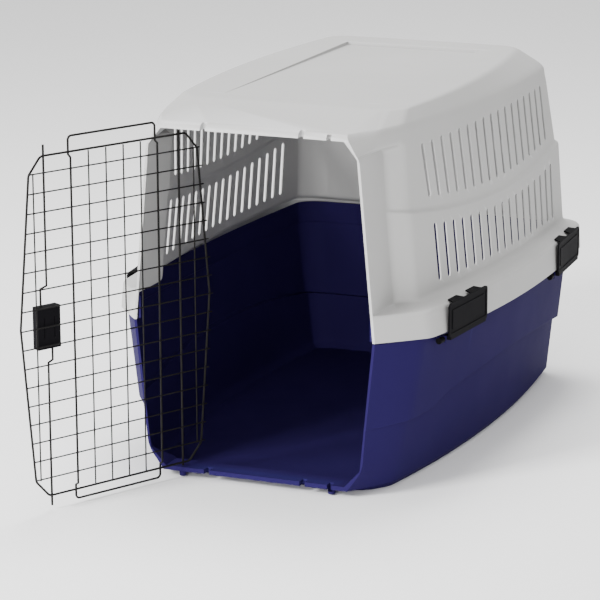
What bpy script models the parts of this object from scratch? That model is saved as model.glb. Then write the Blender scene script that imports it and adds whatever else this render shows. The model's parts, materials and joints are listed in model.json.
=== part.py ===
"""Pet transport carrier: two moulded half shells, four side latches and a hinged wire door.

Units are metres, +Z is up and +Y points to the back of the carrier. Sections are laid out with
y = 0 at the rim of the front opening; the empty "carrier_datum" then moves the whole carrier so
that the origin lies under the middle of its flat base. The door stands open at rest.
"""
import math

import bpy
import bmesh
from mathutils import Matrix, Vector

# ---------------------------------------------------------------- driving dimensions
HEIGHT = 0.660            # floor to roof
DATUM_Y = 0.473           # rim of the opening to the middle of the base
WALL = 0.0022             # moulded wall
GAP = 0.0004              # clearance between pieces that meet
MIDDLE_Y = 0.55           # where the sides bulge most
SIDE_STEPS = 6
CORNER_STEPS = 3

# front opening: half width at each height, sill to header
SILL_Z = 0.0204
SILL_CHAMFER_Z = 0.052
SEAM_Z = 0.284
CHAMFER_Z = 0.6017
HEADER_Z = 0.6316
SILL_HALF = 0.1705
SILL_CHAMFER_HALF = 0.1996
SEAM_HALF = 0.223
CHAMFER_HALF = 0.1943
HEADER_HALF = 0.1705
RIM_LIP = 0.0045          # width of the rim around the opening
BEAM_DEPTH = 0.042        # front to back size of the header and the sill
HEADER_TOP = 0.642
SILL_UNDER = 0.0125

# vents
VENT_FIRST_Y = 0.218
VENT_PITCH = 0.0365
VENT_WIDTH = 0.0115
VENTS = 17                # in each row
VENT_LEAN = (-0.018, 0.004)   # top of the first and of the last upper slot, from its foot

# roof panel
PANEL_HALF = 0.138
PANEL_FRONT = 0.20
PANEL_REAR = 0.798
PANEL_DEPTH = 0.006

# door, measured from its hinge axis
OPEN_ANGLE = math.radians(117.5)
THICK = 0.0020            # radius of the thick wire
THIN = 0.0013             # radius of the thin wire
DOOR_CENTRE = 0.1425      # hinge axis to the middle of the frame
ROD_SPACING = 2 * DOOR_CENTRE
HINGE_X = -DOOR_CENTRE    # the closed door is central in the opening
HINGE_Y = 0.012
FRAME_TOP = 0.6224
FRAME_BOTTOM = 0.0282
FRAME_TOP_HALF = 0.153
FRAME_SHOULDER_HALF = 0.178
FRAME_APEX_HALF = 0.202
FRAME_FOOT_HALF = 0.179
FRAME_BOTTOM_HALF = 0.152
SHOULDER_DROP = 0.030
APEX_Z = 0.33
CROSS_WIRES = 17
CROSS_TOP = 0.5946
CROSS_PITCH = 0.0333
UPRIGHT_PITCH = 0.0366
SIDE_UPRIGHT = 0.1695     # middle of the frame to the outermost uprights
LOOP_HALF = 2.5 * UPRIGHT_PITCH
LOOP_TOP = 0.6478
LOOP_BOTTOM = 0.0085
ROD_TOP = 0.6398
ROD_BOTTOM = 0.0075

# door latch
CASE_WIDTH = 0.046
CASE_HEIGHT = 0.074
CASE_DEPTH = 0.016
CASE_INNER = 0.0058       # inner face of the case, just clear of the uprights
CASE_WALL = 0.002
CASE_Z = 0.325
CRANK_SLOPE = 0.004
# sideways crank of each latch rod, and how far outside the case it is (more than the rods' travel)
UPPER_CRANK = (0.013, 0.031)
LOWER_CRANK = (-0.009, 0.022)
GRIP_WIDTH = 0.032
GRIP_FOOT = 0.0222         # middle of the case to the grips
GRIP_HEAD = 0.0300

# side latches: their length, the middle of each along y, and how they sit on the skirt
LATCH_LENGTH = 0.158
LATCH_CENTRES = (0.225, 0.778)
LATCH_PLATE = 0.0035
LATCH_STANDOFF = 0.0022
LATCH_TOP_RISE = 0.0040
HOOK_RISE = 0.0026        # the hooks climb the sloping shelf towards their tips
KNOB_LENGTH = 0.016       # barrel outside each lug
PIVOT_BELOW_SEAM = 0.010
PIVOT_INSET = 0.008
BARREL_RADIUS = 0.0055
PIN_RADIUS = 0.0025
LUG_THICKNESS = 0.005
HOOK_LENGTH = 0.045
HOOK_REACH = 0.013
HOOK_GAP = 0.028

COLLECTION = "pet_transport_carrier"


# ---------------------------------------------------------------- small helpers
def through(points, y):
    """Value at y of the parabola through three (y, value) points."""
    total = 0.0
    for i, (yi, vi) in enumerate(points):
        weight = 1.0
        for j, (yj, _) in enumerate(points):
            if i != j:
                weight *= (y - yj) / (yi - yj)
        total += vi * weight
    return total


def lerp(a, b, t):
    return a + (b - a) * t


def opening_half(z):
    """Half width of the front opening at height z."""
    stations = [(SILL_Z, SILL_HALF), (SILL_CHAMFER_Z, SILL_CHAMFER_HALF), (SEAM_Z, SEAM_HALF),
                (CHAMFER_Z, CHAMFER_HALF), (HEADER_Z, HEADER_HALF)]
    if z <= SILL_Z:
        return SILL_HALF
    for (z0, h0), (z1, h1) in zip(stations, stations[1:]):
        if z <= z1:
            return lerp(h0, h1, (z - z0) / (z1 - z0))
    return HEADER_HALF


def material(name, colour, roughness, metallic=0.0):
    existing = bpy.data.materials.get(name)
    if existing:
        return existing
    made = bpy.data.materials.new(name)
    made.use_nodes = True
    shader = made.node_tree.nodes["Principled BSDF"]
    shader.inputs["Base Color"].default_value = (*colour, 1.0)
    shader.inputs["Roughness"].default_value = roughness
    shader.inputs["Metallic"].default_value = metallic
    return made


def grey_plastic():
    return material("shell_grey", (0.62, 0.62, 0.60), 0.55)


def blue_plastic():
    return material("shell_blue", (0.035, 0.035, 0.16), 0.42)


def black_plastic():
    return material("latch_black", (0.02, 0.02, 0.022), 0.45)


def wire_metal():
    return material("wire_black", (0.018, 0.018, 0.018), 0.40, 0.0)


def spring_metal():
    return material("spring_steel", (0.55, 0.55, 0.56), 0.30, 1.0)


def clear_scene():
    for obj in list(bpy.data.objects):
        bpy.data.objects.remove(obj, do_unlink=True)


def collection(name):
    made = bpy.data.collections.get(name)
    if made is None:
        made = bpy.data.collections.new(name)
        bpy.context.scene.collection.children.link(made)
    return made


def add_object(name, mesh, look, parent, group=COLLECTION):
    obj = bpy.data.objects.new(name, mesh)
    collection(group).objects.link(obj)
    if look:
        mesh.materials.append(look)
    obj.parent = parent
    return obj


def mesh_from(name, build):
    """A mesh made by build(bm), with its faces pointing out."""
    bm = bmesh.new()
    build(bm)
    bmesh.ops.recalc_face_normals(bm, faces=bm.faces)
    mesh = bpy.data.meshes.new(name)
    bm.to_mesh(mesh)
    bm.free()
    return mesh


def cutter(name, build, parent):
    obj = add_object(name, mesh_from(name, build), None, parent, "cutters")
    obj.hide_render = True
    obj.display_type = 'WIRE'
    return obj


def boolean(target, tool, operation='DIFFERENCE'):
    modifier = target.modifiers.new(tool.name, 'BOOLEAN')
    modifier.operation = operation
    modifier.object = tool
    modifier.solver = 'EXACT'


def add_box(bm, low, high):
    """A box between two corners."""
    made = bmesh.ops.create_cube(bm, size=1.0)["verts"]
    for vert in made:
        vert.co = Vector(lerp(low[k], high[k], vert.co[k] + 0.5) for k in range(3))
    return made


def add_prism(bm, outline, y0, y1):
    """An outline of (x, z) points pushed from y0 to y1."""
    near = [bm.verts.new((x, y0, z)) for x, z in outline]
    far = [bm.verts.new((x, y1, z)) for x, z in outline]
    bm.faces.new(near)
    bm.faces.new(list(reversed(far)))
    for i in range(len(outline)):
        j = (i + 1) % len(outline)
        bm.faces.new((near[i], far[i], far[j], near[j]))


def add_cylinder(bm, centre, radius, length, sides=12):
    """An upright cylinder with its middle at centre."""
    made = bmesh.ops.create_cone(bm, cap_ends=True, segments=sides, radius1=radius,
                                 radius2=radius, depth=length)["verts"]
    bmesh.ops.translate(bm, verts=made, vec=centre)
    return made


# ---------------------------------------------------------------- half sections of the shells
class Section:
    """One level of a shell: where its outline runs, and how high it is front to back."""

    def __init__(self, heights, rim, recess, corner, middle, rear, back):
        self.heights = heights
        self.rim = rim
        self.recess = recess
        self.corner = corner
        self.middle = middle
        self.rear = rear
        self.back = back

    def height(self, y):
        front, middle, rear = self.heights
        return through(((0.0, front), (0.5, middle), (0.92, rear)), y)

    def outline(self):
        """(x, y) points of the right half, front to back."""
        points = [self.rim, self.recess, self.corner]
        side = ((self.corner[1], self.corner[0]), (MIDDLE_Y, self.middle),
                (self.rear[1], self.rear[0]))
        for i in range(1, SIDE_STEPS + 1):
            y = lerp(self.corner[1], self.rear[1], i / SIDE_STEPS)
            points.append((through(side, y), y))
        run_x = self.rear[0] * 0.2
        run_y = self.back - self.rear[1]
        for i in range(1, CORNER_STEPS + 1):
            turn = math.pi / 2 * i / CORNER_STEPS
            points.append((self.rear[0] - run_x * (1 - math.cos(turn)),
                           self.rear[1] + run_y * math.sin(turn) * 0.88))
        points.append((self.rear[0] * 0.4, self.back))
        return points

    def ring(self, inset=0.0, drop=0.0):
        """(x, y, z) points of the right half, moved in by inset and down by drop."""
        plan = self.outline()
        chain = [(0.0, plan[0][1])] + plan + [(0.0, plan[-1][1])]
        ring = []
        for i, (x, y) in enumerate(plan):
            before, after = chain[i], chain[i + 2]
            a = Vector((x - before[0], y - before[1])).normalized()
            b = Vector((after[0] - x, after[1] - y)).normalized()
            inward = Vector((-a.y, a.x)) + Vector((-b.y, b.x))
            stretch = 2.0 / max(inward.length_squared, 0.8)
            move = inward * inset * stretch
            ring.append((x + move.x, y + move.y, self.height(y) - drop))
        return ring


def add_loft(bm, rings):
    """A closed body through right-half rings, mirrored to the left."""
    right = [[bm.verts.new(point) for point in ring] for ring in rings]
    left = [[bm.verts.new((-x, y, z)) for x, y, z in ring] for ring in rings]
    last = len(rings[0]) - 1
    for lower in range(len(rings) - 1):
        upper = lower + 1
        for side in (right, left):
            for i in range(last):
                bm.faces.new((side[lower][i], side[lower][i + 1], side[upper][i + 1], side[upper][i]))
        for i in (0, last):
            bm.faces.new((left[lower][i], right[lower][i], right[upper][i], left[upper][i]))
    for level in (0, len(rings) - 1):
        for i in range(last):
            bm.faces.new((left[level][i], right[level][i], right[level][i + 1], left[level][i + 1]))


def rim_at(z, y=0.0):
    return (opening_half(z) + RIM_LIP, y)


SEAM = (SEAM_Z, 0.264, 0.262)
SKIRT_FOOT = Section(SEAM, rim_at(SEAM_Z), (0.262, 0.043), (0.298, 0.089), 0.330, (0.316, 0.890), 0.946)
SKIRT_TOP = Section((0.330, 0.315, 0.309), rim_at(0.330), (0.259, 0.044), (0.294, 0.091),
                    0.327, (0.314, 0.888), 0.943)
WALL_FOOT = Section((0.336, 0.321, 0.318), rim_at(0.336), (0.2225, 0.108), (0.256, 0.126),
                    0.294, (0.284, 0.878), 0.912)
BELOW_LEDGE = Section((0.512, 0.452, 0.482), rim_at(0.512), (0.208, 0.108), (0.241, 0.129),
                      0.282, (0.276, 0.866), 0.898)
ABOVE_LEDGE = Section((0.517, 0.457, 0.487), rim_at(0.517), (0.207, 0.112), (0.235, 0.132),
                      0.276, (0.270, 0.860), 0.892)
UNDER_BROW = Section((0.600, 0.600, 0.600), rim_at(0.600), (0.200, 0.112), (0.229, 0.132),
                     0.261, (0.252, 0.854), 0.884)
BROW_FOOT = Section((0.610, 0.610, 0.610), rim_at(0.610), (0.210, 0.062), (0.228, 0.130),
                    0.259, (0.250, 0.852), 0.882)
ROOF_CREASE = Section((HEADER_TOP, 0.628, 0.628), (0.174, 0.0), (0.206, 0.066), (0.226, 0.130),
                      0.258, (0.248, 0.852), 0.880)
ROOF_EDGE = Section((HEIGHT, HEIGHT, HEIGHT), (0.172, 0.156), (0.188, 0.160), (0.214, 0.190),
                    0.230, (0.198, 0.832), 0.872)

BASE = Section((0.0, 0.0, 0.0), (0.160, 0.045), (0.192, 0.058), (0.220, 0.092), 0.264, (0.245, 0.880), 0.902)
BASE_EDGE = Section((0.012, 0.012, 0.012), (0.165, 0.045), (0.198, 0.052), (0.229, 0.085),
                    0.272, (0.253, 0.884), 0.910)
SILL_FOOT = Section((SILL_UNDER,) * 3, rim_at(SILL_Z), (0.205, 0.042), (0.231, 0.083),
                    0.273, (0.254, 0.884), 0.911)
SILL_SIDE = Section((SILL_CHAMFER_Z,) * 3, rim_at(SILL_CHAMFER_Z), (0.223, 0.042), (0.240, 0.083),
                    0.277, (0.258, 0.884), 0.913)
BELOW_STEP = Section((0.116, 0.149, 0.112), rim_at(0.116), (0.234, 0.042), (0.253, 0.084),
                     0.284, (0.265, 0.884), 0.916)
ABOVE_STEP = Section((0.121, 0.154, 0.117), rim_at(0.121), (0.240, 0.041), (0.262, 0.083),
                     0.293, (0.274, 0.887), 0.925)
UNDER_SEAM = Section(tuple(z - 0.0020 for z in SEAM), rim_at(SEAM_Z), (0.256, 0.042), (0.284, 0.088),
                     0.304, (0.289, 0.888), 0.930)
NECK_FOOT = Section(tuple(z + 0.0006 for z in SEAM), (0.2203, 0.0038), (0.252, 0.046), (0.281, 0.090),
                    0.303, (0.288, 0.887), 0.929)
NECK_TOP = Section((0.325, 0.310, 0.304), (0.2198, 0.0040), (0.248, 0.048), (0.278, 0.092),
                   0.302, (0.287, 0.886), 0.928)


def opening_outline(low, high):
    """(x, z) outline of the front opening between two heights."""
    levels = [z for z in (SILL_Z, SILL_CHAMFER_Z, SEAM_Z, CHAMFER_Z, HEADER_Z) if low < z < high]
    levels = [low] + levels + [high]
    right = [(opening_half(z), z) for z in levels]
    return right + [(-x, z) for x, z in reversed(right)]


def slot_outline(y, low, high, lean=0.0):
    """(y, z) outline of a vent slot with pointed round ends, its top moved by lean."""
    half = VENT_WIDTH / 2
    cut = half * 0.9
    straight = [(y - half, low + cut), (y - half * 0.4, low),
                (y + half * 0.4, low), (y + half, low + cut),
                (y + half, high - cut), (y + half * 0.4, high),
                (y - half * 0.4, high), (y - half, high - cut)]
    return [(py + lean * (pz - low) / (high - low), pz) for py, pz in straight]


def add_cross_prism(bm, outline, reach):
    """An outline of (y, z) points pushed from -reach to reach along X."""
    left = [bm.verts.new((-reach, y, z)) for y, z in outline]
    right = [bm.verts.new((reach, y, z)) for y, z in outline]
    bm.faces.new(left)
    bm.faces.new(list(reversed(right)))
    for i in range(len(outline)):
        j = (i + 1) % len(outline)
        bm.faces.new((left[i], right[i], right[j], left[j]))


def vent_cutters(bm):
    for i in range(VENTS):
        y = VENT_FIRST_Y + VENT_PITCH * i
        lean = lerp(*VENT_LEAN, i / (VENTS - 1))
        add_cross_prism(bm, slot_outline(y, ABOVE_LEDGE.height(y) + 0.020, 0.597, lean), 0.5)
        low = WALL_FOOT.height(y) + 0.021
        add_cross_prism(bm, slot_outline(y, low, BELOW_LEDGE.height(y) - 0.020), 0.5)


def notch_boxes(bm, low_z, high_z):
    """Open-fronted notches for the two uprights of the door's loop."""
    for x in (-LOOP_HALF, LOOP_HALF):
        add_box(bm, (x - 0.0050, -0.01, low_z), (x + 0.0050, HINGE_Y + 0.005, high_z))


def latch_keeper(bm, low_z, high_z):
    """Open-fronted slot that takes the tip of a latch rod as the door closes."""
    x = HINGE_X + ROD_SPACING
    add_box(bm, (x - 0.0042, -0.01, low_z), (x + 0.0042, HINGE_Y + 0.0032, high_z))


def make_top_shell(datum):
    def outer(bm):
        add_loft(bm, [s.ring() for s in (SKIRT_FOOT, SKIRT_TOP, WALL_FOOT, BELOW_LEDGE, ABOVE_LEDGE,
                                         UNDER_BROW, BROW_FOOT, ROOF_CREASE, ROOF_EDGE)])

    def inner(bm):
        rings = [SKIRT_FOOT.ring(WALL, 0.03)]
        rings += [s.ring(WALL, d) for s, d in ((SKIRT_TOP, WALL), (WALL_FOOT, WALL),
                                               (BELOW_LEDGE, WALL), (ABOVE_LEDGE, 0.0),
                                               (UNDER_BROW, 0.0), (BROW_FOOT, 0.0))]
        crease = Section((0.6316, 0.618, 0.618), (0.172, BEAM_DEPTH), (0.203, 0.070), (0.226, 0.130),
                         0.258, (0.248, 0.852), 0.880)
        rings.append(crease.ring(WALL))
        rings.append(ROOF_EDGE.ring(0.006, 0.012))
        add_loft(bm, rings)

    def front(bm):
        add_prism(bm, opening_outline(0.2, HEADER_Z), -0.02, BEAM_DEPTH + 0.004)

    def panel(bm):
        made = add_box(bm, (-PANEL_HALF, PANEL_FRONT, HEIGHT - 0.0002),
                       (PANEL_HALF, PANEL_REAR, HEIGHT + 0.01))
        for vert in made:
            if vert.co.z < HEIGHT + 0.005 and vert.co.y > MIDDLE_Y:
                vert.co.z -= PANEL_DEPTH

    def details(bm):
        notch_boxes(bm, HEADER_Z - 0.01, HEADER_TOP + 0.01)
        latch_keeper(bm, HEADER_Z - 0.01, ROD_TOP + 0.0012)
        add_cylinder(bm, (HINGE_X, HINGE_Y, HEADER_Z), THICK + 0.0006, (ROD_TOP - HEADER_Z + 0.001) * 2)

    shell = add_object("top_shell", mesh_from("top_shell", outer), grey_plastic(), datum)
    for name, build in (("top_cavity", inner), ("top_front", front), ("roof_panel", panel),
                        ("top_vents", vent_cutters), ("header_details", details)):
        boolean(shell, cutter(name, build, datum))
    return shell


def latch_frame(side, centre_y):
    """Origin and along direction of a side latch; the origin is on the skirt's outer face."""
    def skirt_x(y):
        line = ((SKIRT_FOOT.corner[1], SKIRT_FOOT.corner[0]), (MIDDLE_Y, SKIRT_FOOT.middle),
                (SKIRT_FOOT.rear[1], SKIRT_FOOT.rear[0]))
        return through(line, y)
    x0 = skirt_x(centre_y - LATCH_LENGTH / 2)
    x1 = skirt_x(centre_y + LATCH_LENGTH / 2)
    bulge = skirt_x(centre_y) - (x0 + x1) / 2
    angle = math.atan2(x1 - x0, LATCH_LENGTH)
    return ((x0 + x1) / 2 + bulge) * side, -angle * side


def pivot_point(side, centre_y):
    """Where a side latch's hinge axis passes the latch's middle, and its turn about Z."""
    x, angle = latch_frame(side, centre_y)
    z = SKIRT_FOOT.height(centre_y) - PIVOT_BELOW_SEAM
    return (x - side * PIVOT_INSET, centre_y, z), angle


def turned(bm, verts, point, angle):
    """Turn vertices about Z and move them to point."""
    bmesh.ops.rotate(bm, verts=verts, cent=(0, 0, 0), matrix=Matrix.Rotation(angle, 3, 'Z'))
    bmesh.ops.translate(bm, verts=verts, vec=point)


def lug_boxes(bm):
    """Hinge lugs on the bottom shell, two for each side latch."""
    for side in (1, -1):
        for centre_y in LATCH_CENTRES:
            point, angle = pivot_point(side, centre_y)
            for end in (1, -1):
                y = end * (LATCH_LENGTH / 2 - LUG_THICKNESS / 2)
                reach = (-0.026 * side, BARREL_RADIUS * side)
                made = add_box(bm, (min(reach), y - LUG_THICKNESS / 2, -0.006),
                               (max(reach), y + LUG_THICKNESS / 2, 0.006))
                turned(bm, made, point, angle)


def lug_holes(bm):
    for side in (1, -1):
        for centre_y in LATCH_CENTRES:
            point, angle = pivot_point(side, centre_y)
            for end in (1, -1):
                made = add_cylinder(bm, (0, 0, 0), PIN_RADIUS + 0.0005, LUG_THICKNESS * 3, 10)
                bmesh.ops.rotate(bm, verts=made, cent=(0, 0, 0), matrix=Matrix.Rotation(math.pi / 2, 3, 'X'))
                bmesh.ops.translate(bm, verts=made, vec=(0, end * LATCH_LENGTH / 2, 0))
                turned(bm, made, point, angle)


def snap_slots(bm):
    """Slots that let each clip's pin be pressed up into its lugs, narrower than the pin."""
    for side in (1, -1):
        for centre_y in LATCH_CENTRES:
            point, angle = pivot_point(side, centre_y)
            for end in (1, -1):
                y = end * LATCH_LENGTH / 2
                made = add_box(bm, (-0.0022, y - LUG_THICKNESS * 1.5, -0.01),
                               (0.0022, y + LUG_THICKNESS * 1.5, 0.0))
                turned(bm, made, point, angle)


def make_bottom_shell(datum):
    def outer(bm):
        add_loft(bm, [s.ring() for s in (BASE, BASE_EDGE, SILL_FOOT, SILL_SIDE, BELOW_STEP, ABOVE_STEP,
                                         UNDER_SEAM, NECK_FOOT, NECK_TOP)])

    def inner(bm):
        floor = Section((WALL,) * 3, (0.160, 0.048), (0.190, 0.061), (0.219, 0.093), 0.264,
                        (0.245, 0.880), 0.902)
        rings = [floor.ring(WALL), BASE_EDGE.ring(WALL, -0.001)]
        over_sill = Section((SILL_Z + 0.004,) * 3, (0.176, BEAM_DEPTH), (0.208, 0.050), (0.233, 0.083),
                            0.274, (0.255, 0.884), 0.911)
        rings.append(over_sill.ring(WALL))
        rings += [s.ring(WALL) for s in (SILL_SIDE, BELOW_STEP, ABOVE_STEP, UNDER_SEAM, NECK_FOOT)]
        rings.append(NECK_TOP.ring(WALL, -0.02))
        add_loft(bm, rings)

    def front(bm):
        add_prism(bm, opening_outline(SILL_Z, SEAM_Z + 0.002), -0.02, BEAM_DEPTH + 0.004)

    def neck(bm):
        half = opening_half(SEAM_Z) - 0.0062
        add_prism(bm, [(-half, SEAM_Z - 0.01), (half, SEAM_Z - 0.01), (half, 0.35), (-half, 0.35)],
                  -0.02, BEAM_DEPTH + 0.004)

    def studs(bm):
        for x in (HINGE_X, HINGE_X + ROD_SPACING):
            add_cylinder(bm, (x, HINGE_Y, 0.0085), 0.0065, 0.0125, 14)

    def details(bm):
        notch_boxes(bm, SILL_UNDER - 0.02, SILL_Z + 0.01)
        latch_keeper(bm, ROD_BOTTOM - 0.0012, SILL_Z + 0.01)
        add_cylinder(bm, (HINGE_X, HINGE_Y, SILL_Z), THICK + 0.0006, (SILL_Z - ROD_BOTTOM + 0.001) * 2)

    shell = add_object("bottom_shell", mesh_from("bottom_shell", outer), blue_plastic(), datum)
    boolean(shell, cutter("lugs", lug_boxes, datum), 'UNION')
    boolean(shell, cutter("sill_studs", studs, datum), 'UNION')
    for name, build in (("bottom_cavity", inner), ("bottom_front", front), ("neck_front", neck),
                        ("sill_details", details), ("pin_holes", lug_holes),
                        ("snap_slots", snap_slots)):
        boolean(shell, cutter(name, build, datum))
    return shell


# ---------------------------------------------------------------- side latches
def make_side_latch(name, side, centre_y, datum):
    """C-shaped clip: barrel below, plate over the skirt, two hooks over its top edge."""
    point, angle = pivot_point(side, centre_y)
    drop = SKIRT_FOOT.height(centre_y) - point[2]
    top = SKIRT_TOP.height(centre_y) - point[2] + LATCH_TOP_RISE
    inner = PIVOT_INSET + LATCH_STANDOFF
    outer = inner + LATCH_PLATE
    half = LATCH_LENGTH / 2 - LUG_THICKNESS - 0.0005

    def across(u):
        return u * side

    def slab(bm, u0, u1, y0, y1, z0, z1):
        return add_box(bm, (min(across(u0), across(u1)), y0, z0), (max(across(u0), across(u1)), y1, z1))

    empty = bpy.data.objects.new(name + "_axis", None)
    collection(COLLECTION).objects.link(empty)
    empty.parent = datum
    empty.location = point
    empty.rotation_euler = (0, 0, angle)

    plate_foot = drop - 0.006
    border = 0.005

    def body(bm):
        slab(bm, inner, outer, -LATCH_LENGTH / 2, LATCH_LENGTH / 2, plate_foot, top)

    def arm(bm):
        slab(bm, -0.001, outer - 0.0005, -half, half, plate_foot - 0.0055, plate_foot + 0.0010)

    def barrel(bm):
        made = add_cylinder(bm, (0, 0, 0), BARREL_RADIUS, half * 2, 14)
        made += add_cylinder(bm, (0, 0, 0), PIN_RADIUS, LATCH_LENGTH + KNOB_LENGTH, 10)
        for end in (1, -1):
            middle = end * (LATCH_LENGTH / 2 + 0.0005 + KNOB_LENGTH / 2)
            made += add_cylinder(bm, (0, 0, middle), BARREL_RADIUS, KNOB_LENGTH, 14)
        bmesh.ops.rotate(bm, verts=made, cent=(0, 0, 0), matrix=Matrix.Rotation(math.pi / 2, 3, 'X'))

    def hooks(bm):
        for end in (1, -1):
            y0 = end * HOOK_GAP / 2
            y1 = end * (HOOK_GAP / 2 + HOOK_LENGTH)
            made = slab(bm, inner - HOOK_REACH, outer - 0.0005, min(y0, y1), max(y0, y1),
                        top - 0.0028, top - 0.0002)
            for vert in made:
                if abs(vert.co.x) < inner:
                    vert.co.z += HOOK_RISE

    def recess(bm):
        slab(bm, outer - 0.0008, outer + 0.01, -LATCH_LENGTH / 2 + border, LATCH_LENGTH / 2 - border,
             plate_foot + border, top - border)

    latch = add_object(name, mesh_from(name, body), black_plastic(), empty)
    for tag, build in (("_arm", arm), ("_barrel", barrel), ("_hooks", hooks)):
        tool = cutter(name + tag, build, empty)
        boolean(latch, tool, 'UNION')
        if tag == "_barrel":
            latch.modifiers[-1].use_self = True
    boolean(latch, cutter(name + "_recess", recess, empty))
    return latch


# ---------------------------------------------------------------- wire door
FRAME_V = 0.0068                                 # frame and loop lie inside the rods
UPRIGHT_V = FRAME_V + THICK - THIN               # thin uprights
CROSS_V = UPRIGHT_V + 2 * THIN + GAP + 0.0006    # cross wires, innermost


def wire(name, points, radius, parent, closed=False, look=None):
    """A round wire through (u, v, z) points, as a mesh."""
    curve = bpy.data.curves.new(name, 'CURVE')
    curve.dimensions = '3D'
    curve.bevel_depth = radius
    curve.bevel_resolution = 2
    curve.use_fill_caps = True
    spline = curve.splines.new('POLY')
    spline.points.add(len(points) - 1)
    for target, point in zip(spline.points, points):
        target.co = (*point, 1.0)
    spline.use_cyclic_u = closed
    source = bpy.data.objects.new(name + "_curve", curve)
    collection(COLLECTION).objects.link(source)
    graph = bpy.context.evaluated_depsgraph_get()
    mesh = bpy.data.meshes.new_from_object(source.evaluated_get(graph))
    bpy.data.objects.remove(source, do_unlink=True)
    bm = bmesh.new()
    bm.from_mesh(mesh)
    bmesh.ops.remove_doubles(bm, verts=bm.verts, dist=0.00001)
    bmesh.ops.recalc_face_normals(bm, faces=bm.faces)
    bm.to_mesh(mesh)
    bm.free()
    mesh.name = name
    mesh.materials.clear()
    mesh.shade_smooth()
    return add_object(name, mesh, look or wire_metal(), parent)


def rounded(corners, radius, steps=4):
    """Closed (u, z) corners with each one turned into an arc."""
    points = []
    count = len(corners)
    for i, corner in enumerate(corners):
        here = Vector(corner)
        before = (Vector(corners[i - 1]) - here).normalized()
        after = (Vector(corners[(i + 1) % count]) - here).normalized()
        half_angle = math.acos(max(-1.0, min(1.0, before.dot(after)))) / 2
        reach = radius / math.tan(half_angle)
        middle = here + (before + after).normalized() * (radius / math.sin(half_angle))
        start = here + before * reach - middle
        finish = here + after * reach - middle
        for k in range(steps + 1):
            spoke = start.lerp(finish, k / steps).normalized() * radius
            points.append(tuple(middle + spoke))
    return points


def frame_corners():
    shoulder = FRAME_TOP - SHOULDER_DROP
    foot = FRAME_BOTTOM + SHOULDER_DROP
    right = [(FRAME_BOTTOM_HALF, FRAME_BOTTOM), (FRAME_FOOT_HALF, foot), (FRAME_APEX_HALF, APEX_Z),
             (FRAME_SHOULDER_HALF, shoulder), (FRAME_TOP_HALF, FRAME_TOP)]
    left = [(-x, z) for x, z in reversed(right)]
    return [(DOOR_CENTRE + x, z) for x, z in right + left]


def frame_half(z):
    """Half width of the door frame at height z."""
    right = [(z, u - DOOR_CENTRE) for u, z in frame_corners()[:5]]
    for (z0, h0), (z1, h1) in zip(right, right[1:]):
        if z <= z1:
            return lerp(h0, h1, (z - z0) / (z1 - z0))
    return FRAME_TOP_HALF


def make_door(datum):
    hinge = bpy.data.objects.new("door_axis", None)
    collection(COLLECTION).objects.link(hinge)
    hinge.parent = datum
    hinge.location = (HINGE_X, HINGE_Y, 0)
    hinge.rotation_euler = (0, 0, -OPEN_ANGLE)

    outline = rounded(frame_corners(), 0.012, 3)
    wire("door_frame", [(u, FRAME_V, z) for u, z in outline], THICK, hinge, closed=True)
    wire("hinge_rod", [(0, 0, ROD_BOTTOM), (0, 0, ROD_TOP)], THICK, hinge)

    for i in range(CROSS_WIRES):
        z = CROSS_TOP - CROSS_PITCH * i
        reach = frame_half(z) + 0.004
        wire("cross_wire_%02d" % (i + 1),
             [(DOOR_CENTRE - reach, CROSS_V, z), (DOOR_CENTRE + reach, CROSS_V, z)], THIN, hinge)

    offsets = [UPRIGHT_PITCH * k for k in (-1.5, -0.5, 0.5, 1.5)]
    offsets = [-SIDE_UPRIGHT] + offsets + [SIDE_UPRIGHT]
    for i, offset in enumerate(offsets):
        low, high = FRAME_BOTTOM + THICK + GAP, FRAME_TOP - THICK - GAP
        if abs(offset) > FRAME_TOP_HALF:
            low, high = FRAME_BOTTOM + SHOULDER_DROP, FRAME_TOP - SHOULDER_DROP
        u = DOOR_CENTRE + offset
        wire("upright_wire_%d" % (i + 1), [(u, UPRIGHT_V, low), (u, UPRIGHT_V, high)], THIN, hinge)

    low_turn, high_turn = FRAME_BOTTOM + 0.010, FRAME_TOP - 0.010
    near, far = DOOR_CENTRE - LOOP_HALF, DOOR_CENTRE + LOOP_HALF
    loop = rounded([(near, LOOP_BOTTOM), (far, LOOP_BOTTOM), (far, LOOP_TOP), (near, LOOP_TOP)], 0.007, 4)
    path = [(u, 0.0, z) for u, z in loop[:10]]
    path += [(far, 0.0, low_turn - 0.004), (far, FRAME_V, low_turn)]
    path += [(far, FRAME_V, high_turn), (far, 0.0, high_turn + 0.004)]
    path += [(u, 0.0, z) for u, z in loop[10:]]
    path += [(near, 0.0, high_turn + 0.004), (near, FRAME_V, high_turn)]
    path += [(near, FRAME_V, low_turn), (near, 0.0, low_turn - 0.004)]
    wire("door_loop", path, THICK, hinge, closed=True)

    make_door_latch(hinge)
    return hinge


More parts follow.
